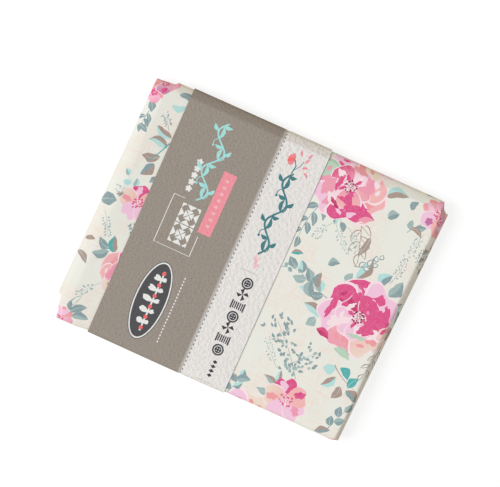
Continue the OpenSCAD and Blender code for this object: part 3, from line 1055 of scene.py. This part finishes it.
def quarter_material(index, base, ink, accent, kind, pitch):
    n = Nodes(f"cotton_print_{index}")
    where = n.flat()
    colour = rgba(base)
    if kind == "hatch":
        colour = n.mix(hatch(n, n.stretch(where, 1.4, 1.4)), colour, rgba(ink))
    elif kind == "gingham":
        for way in n.split(where):
            wave = n.math("SINE", n.times(way, pi / pitch))
            stripe = n.math("GREATER_THAN", wave, 0.0)
            colour = n.mix(n.times(stripe, 0.5), colour, rgba(ink))
    else:
        fx, fy = cell(n, where, pitch)
        colour = n.mix(rosette(n, fx, fy, *ROSETTES[kind]), colour, rgba(ink))
        colour = n.mix(rosette(n, fx, fy, 1, 0.07, 0.0), colour, rgba(accent))
        shift = (pitch * 0.5, pitch * 0.25, 0)
        moved = n.node("ShaderNodeVectorMath", {0: where, 1: shift}).outputs[0]
        colour = n.mix(rosette(n, *cell(n, moved, pitch), 3, 0.07, 0.025), colour, rgba(accent))
    return cotton(n, where, n.veil(colour, "ground", n.noise(where, 0.3, 3, 0.6), 0.35, 0.7, 0.12))


def plain_material(name, tone, rough, grain_scale):
    n = Nodes(name)
    where = n.node("ShaderNodeTexCoord").outputs["Object"]
    grain = n.noise(where, grain_scale, 3, 0.6)
    n.bump(grain, 0.2, 0.0002)
    return n.finish(n.veil(rgba(tone), "ring", grain, 0.3, 0.7, 0.25), rough)


# ---- pieces
def between(low, high, step, ends=0.0, fine=1.0):
    """Grid lines from low to high, closer together within ends of either limit."""
    lines = np.concatenate([np.arange(low, low + ends, fine), np.arange(low + ends, high - ends + 1e-6, step),
                            np.arange(high - ends, high, fine), [high]])
    return sorted(set(np.round(lines, 3).tolist()))


def round_lines(step):
    """Grid lines round the bundle, close together where it turns over its long sides."""
    turn_start, turn_end = 84, 124
    lines = np.concatenate([np.arange(0, turn_start, step), np.arange(turn_start, turn_end, 1.0),
                            np.arange(turn_end, HALF_ROUND + 20, step)])
    return sorted(set(np.round(np.concatenate([-lines, lines]), 3).tolist()))


def wrapper():
    """The cloth: pulled-back corner at the open end, and an end flap that is narrower than the rest."""
    low_s, high_s = -HALF_ROUND - 6, HALF_ROUND + 16.5
    left, right = -END_X, NOSE_X + NOSE_RUN
    flap_end = FLAP_X + 26.0
    corner = -78.0
    outline = [(left, v) for v in np.linspace(high_s, corner, 60)]
    outline += [(left + x, corner + s) for x, s in (
        (3.2, -1.6), (4.2, -9), (5.6, -12), (6.4, -19), (6.6, -40), (4.0, -46), (1.0, -52))]
    outline += [(left, low_s)] + [(right, v) for v in np.linspace(low_s, -84, 40)]
    outline += [(FLAP_X, -79), (flap_end - 1.5, -69), (flap_end, -66)]
    outline += [(flap_end, 66), (flap_end - 1.5, 69), (FLAP_X, 79)]
    outline += [(right, v) for v in np.linspace(84, high_s, 40)]
    lines = between(left, right, 3.0, 12.0, 1.0) + between(right + 1, flap_end, 2.0), round_lines(3.0)
    cloth = build_sheet("wrapper_cloth", floral_print(), outline, lines, drape, LAP_T, floral_material())
    stand_for(cloth, "outer_fat_quarter", "wrapped_bundle")


def paper(name, sheet, x0, x1, place, material, node):
    edge = np.linspace(-HALF_ROUND - 12.0, HALF_ROUND + 12.0, 90)
    outline = [(x0, v) for v in edge[::-1]] + [(x1, v) for v in edge]
    lines = between(x0, x1, 4.0), round_lines(4.0)
    stand_for(build_sheet(name, sheet, outline, lines, place, PAPER_T, material), node, "paper_band")


def tube_faces(count, n, first=0):
    """Faces of a closed tube: count loops of n points each, capped at both ends."""
    faces = []
    for a in range(first, first + (count - 1) * n, n):
        faces += [(a + j, a + n + j, a + n + (j + 1) % n, a + (j + 1) % n) for j in range(n)]
    last = first + (count - 1) * n
    return faces + [tuple(range(first, first + n)), tuple(range(last + n - 1, last - 1, -1))]


def folded_path(panel, straight):
    """Middle line of a cloth folded in three, as Y and Z from the quarter's middle, and its run."""
    pitch = panel + PANEL_GAP
    flat = np.linspace(-straight, straight, 36)
    turn = np.radians(np.linspace(90, -90, 9))[1:-1]
    path = [(y, pitch) for y in flat]
    path += [(straight + pitch / 2 * cos(a), pitch / 2 + pitch / 2 * sin(a)) for a in turn]
    path += [(y, 0) for y in flat[::-1]]
    path += [(-straight - pitch / 2 * cos(a), -pitch / 2 + pitch / 2 * sin(a)) for a in turn]
    path += [(y, -pitch) for y in flat]
    return np.array(path), run_along(*np.array(path).T)


def folded_quarter(index, material):
    node = f"fat_quarter_{index}"
    low, high = box_mm(node)
    mid = (low[2] + high[2]) / 2
    panel = (high[2] - low[2] - 2 * PANEL_GAP) / 3
    path, run = folded_path(panel, high[1] - panel - PANEL_GAP / 2)
    along = np.gradient(path, axis=0)
    along /= np.hypot(*along.T)[:, None]
    across = np.stack([-along[:, 1], along[:, 0]], 1)
    # both cut edges wander a little
    rand = np.random.RandomState(40 + index)
    inset = np.interp(run, np.linspace(0, run[-1], 14), rand.uniform(0.0, 1.3, 14))
    tail = np.interp(run, np.linspace(0, run[-1], 9), rand.uniform(0.0, 1.6, 9))
    inset = inset + open_end(path[:, 0])

    half, length = panel / 2, high[0] - low[0]
    stations = [(half * (1 - cos(a)), sin(a)) for a in np.radians([12, 35, 60, 90])]
    stations += [(x, 1.0) for x in np.linspace(6, length, 37)]
    loops, flats = [], []
    for x, scale in stations:
        narrow = np.array([1 - 0.006 * (1 - smooth(0, 25, x)), 1.0])
        at = low[0] + x + inset * (1 - smooth(0, 30, x)) - tail * smooth(length - 30, length, x)
        level = mid + 0.04 * np.sin(x / 13 + path[:, 0] / 17 + index)
        for side, order, start in ((1, slice(None), 0), (-1, slice(None, None, -1), 7)):
            y, z = ((path + side * across * half * scale) * narrow).T
            loops.append(np.stack([at, y, level + z], 1)[order])
            flats.append(np.stack([0 * run + x, run[order] + start, 0 * run], 1))
    faces = tube_faces(len(stations), 2 * len(run))
    points, flats = np.concatenate(loops), np.concatenate(flats)
    cloth = mesh_object(f"quarter_{index}_cloth", points, faces, material, flats)
    cloth.data.set_sharp_from_angle(angle=radians(50))
    stand_for(cloth, node, f"folded_quarter_{index}")


def stitches():
    """Running stitch: each stitch is a flattened strand that dips through the paper at both ends."""
    pitch, length, reach = 3.3, 1.9, 103.0
    half_w, half_t = 0.4, 0.13
    from_seam = 1.1
    sides, steps = 8, 9
    count = int(reach // pitch)
    turn = 2 * pi * np.arange(sides) / sides
    u = np.linspace(0, 1, steps)
    sink = 0.5 * (2 * u - 1) ** 8 - 0.02
    width = half_w * (1 - 0.4 * (2 * u - 1) ** 6)
    points, faces = [], []
    for k in range(-count, count + 1):
        faces += tube_faces(steps, sides, len(points))
        spine = RAG_PLACE(np.full(steps, MEET_X + from_seam), k * pitch + length * (u - 0.5))
        for (x, y, z), dip, w in zip(spine, sink, width):
            points += [(x + w * cos(a), y, z - dip + half_t * sin(a)) for a in turn]
    row = mesh_object("stitch_row", points, faces, plain_material("stitch_cotton", (88, 86, 90), 0.9, 2500))
    stand_for(row, "stitch_thread", "paper_band")


wrapper()
KRAFT = paper_material("kraft_print", (154, 143, 132), (104, 92, 82), 0.75, 0.55, 0.5,
                       (MEET_X - 2.2, MEET_X + 0.2))
RAG = paper_material("rag_print", (238, 234, 230), (206, 200, 194), 0.3, 1.0, 0.36)
paper("kraft_paper", kraft_print(), MEET_X - KRAFT_W, MEET_X, KRAFT_PLACE, KRAFT, "kraft_band")
paper("rag_paper", rag_print(), MEET_X - RAG_MARGIN, MEET_X + RAG_W, RAG_PLACE, RAG, "rag_paper_strip")
stitches()
# base, ink and accent colours, pattern and its pitch in millimetres
PRINTS = (
    (1, (160, 202, 192), (222, 240, 234), (90, 150, 146), "hatch", 9.0),
    (2, (236, 150, 172), (250, 224, 230), (214, 58, 122), "blossom", 9.0),
    (3, (178, 162, 148), (232, 224, 214), (128, 110, 98), "leaf", 7.0),
    (4, (74, 156, 158), (200, 232, 226), (240, 178, 172), "blossom", 13.0),
    (5, (246, 190, 180), (255, 240, 234), (240, 150, 150), "gingham", 5.0),
    (6, (132, 156, 162), (214, 226, 224), (96, 120, 128), "dots", 6.0),
    (7, (240, 234, 220), (240, 140, 140), (74, 178, 176), "star", 10.0),
)
for number, base, ink, accent, kind, pitch in PRINTS:
    folded_quarter(number, quarter_material(number, base, ink, accent, kind, pitch))

tape = plain_material("clear_tape", (238, 235, 226), 0.35, 900)
for node in ("joining_tape", "kraft_lap_tape", "rag_lap_tape"):
    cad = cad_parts[node]
    cad.data.materials.clear()
    cad.data.materials.append(tape)

# ---- stage, light and camera
# The camera sees a plain near-white floor. Other rays meet a warm one, which bounces warm light up.
floor_look = Nodes("floor_white")
seen = floor_look.node("ShaderNodeLightPath").outputs["Is Camera Ray"]
floor_look.finish(floor_look.mix(seen, (0.66, 0.54, 0.3, 1), (0.25, 0.25, 0.25, 1)), 0.9)
floor_look.put(floor_look.shader.inputs["Emission Color"], (1, 1, 1, 1))
floor_look.put(floor_look.shader.inputs["Emission Strength"], floor_look.times(seen, 0.79))
FLOOR_CORNERS = [(x * FLOOR_HALF, y * FLOOR_HALF, 0) for x, y in ((-1, -1), (1, -1), (1, 1), (-1, 1))]
mesh_object("floor", FLOOR_CORNERS, [(0, 1, 2, 3)], floor_look.material)

# The camera sees a white world. Other rays meet a dimmer one, which is the soft light from all sides.
world = bpy.data.worlds.new("studio")
bpy.context.scene.world = world
world.use_nodes = True
sky = world.node_tree
background = sky.nodes["Background"].inputs
level = sky.nodes.new("ShaderNodeMapRange")
level.inputs["To Min"].default_value = 0.44
level.inputs["To Max"].default_value = 1.0
sky.links.new(sky.nodes.new("ShaderNodeLightPath").outputs["Is Camera Ray"], level.inputs["Value"])
sky.links.new(level.outputs["Result"], background["Strength"])
background["Color"].default_value = (1.0, 1.0, 1.0, 1.0)


def area_light(name, place, size, power, colour):
    """Light aimed at the origin."""
    light = bpy.data.lights.new(name, "AREA")
    light.size = size
    light.energy = power
    light.color = colour
    obj = bpy.data.objects.new(name, light)
    obj.location = place
    obj.rotation_euler = (-Vector(place)).to_track_quat("-Z", "Y").to_euler()
    bpy.context.scene.collection.objects.link(obj)


area_light("key", (-4.5, -1.2, 5.4), 3.9, 375, (0.985, 0.99, 1.0))
area_light("cool_fill", (0.6, -3.0, 0.7), 1.6, 6, (0.7, 0.82, 1.0))
area_light("warm_fill", (-0.9, 3.0, 0.9), 1.6, 3.5, (1.0, 0.7, 0.28))

CAMERA_MM = Vector((-29.3, 162.7, 1464 + MID_Z))
AIM_MM = Vector((-4.1, 10.6, MID_Z))
PICTURE_TURN = radians(24.68)
camera_data = bpy.data.cameras.new("camera")
camera_data.lens = 144
camera_data.clip_start = 0.01
camera = bpy.data.objects.new("camera", camera_data)
bpy.context.scene.collection.objects.link(camera)
ahead = (AIM_MM - CAMERA_MM).normalized()
sideways = Vector((cos(PICTURE_TURN), sin(PICTURE_TURN), 0))
right = (sideways - ahead * sideways.dot(ahead)).normalized()
up = (-ahead).cross(right)
rotation = Matrix((right, up, -ahead)).transposed().to_4x4()
camera.matrix_world = Matrix.Translation(CAMERA_MM * MM) @ rotation
bpy.context.scene.camera = camera
bpy.context.scene.view_settings.view_transform = "Standard"
